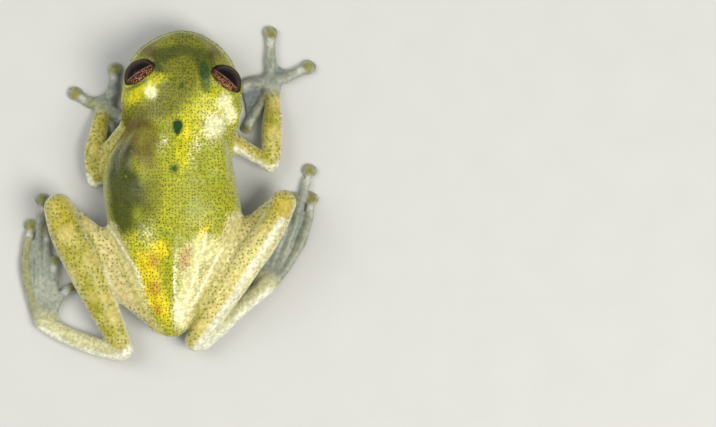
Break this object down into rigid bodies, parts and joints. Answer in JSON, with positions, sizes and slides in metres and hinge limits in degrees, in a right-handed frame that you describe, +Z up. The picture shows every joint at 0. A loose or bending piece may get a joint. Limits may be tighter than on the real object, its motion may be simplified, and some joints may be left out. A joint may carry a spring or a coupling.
{
  "type": "glass frog",
  "caption": "Small tree frog at rest on its belly, rounded snout, forward eyes, folded hind legs, webbed toes with round discs.",
  "frame": {"origin": "middle of the footprint, at the floor", "axes": "frog faces -Y, +Z up, +X to the frog's own left"},
  "size_m": [0.0218, 0.0244, 0.0062],
  "materials": {
    "back_skin": "moist, fine-grained",
    "belly_skin": "moist, smooth",
    "limb_skin": "moist, fine-grained",
    "web_skin": "moist, thin",
    "disc_skin": "moist, smooth",
    "eye": "wet, clear-coated"
  },
  "bodies": {
    "root": {"torso": "back_skin", "head": "back_skin", "lower_jaw": "belly_skin", "eye_left": "eye", "eye_right": "eye", "shank_left": "limb_skin", "thigh_left": "limb_skin", "tarsus_left": "limb_skin", "foot_left": "web_skin", "toe_left_1": "disc_skin", "toe_left_2": "disc_skin", "toe_left_3": "disc_skin", "toe_left_4": "disc_skin", "toe_left_5": "disc_skin", "forearm_left": "limb_skin", "upper_arm_left": "limb_skin", "hand_left": "web_skin", "finger_left_1": "disc_skin", "finger_left_2": "disc_skin", "finger_left_3": "disc_skin", "finger_left_4": "disc_skin", "shank_right": "limb_skin", "thigh_right": "limb_skin", "tarsus_right": "limb_skin", "foot_right": "web_skin", "toe_right_1": "disc_skin", "toe_right_2": "disc_skin", "toe_right_3": "disc_skin", "toe_right_4": "disc_skin", "toe_right_5": "disc_skin", "forearm_right": "limb_skin", "upper_arm_right": "limb_skin", "hand_right": "web_skin", "finger_right_1": "disc_skin", "finger_right_2": "disc_skin", "finger_right_3": "disc_skin", "finger_right_4": "disc_skin"}
  },
  "joints": []
}
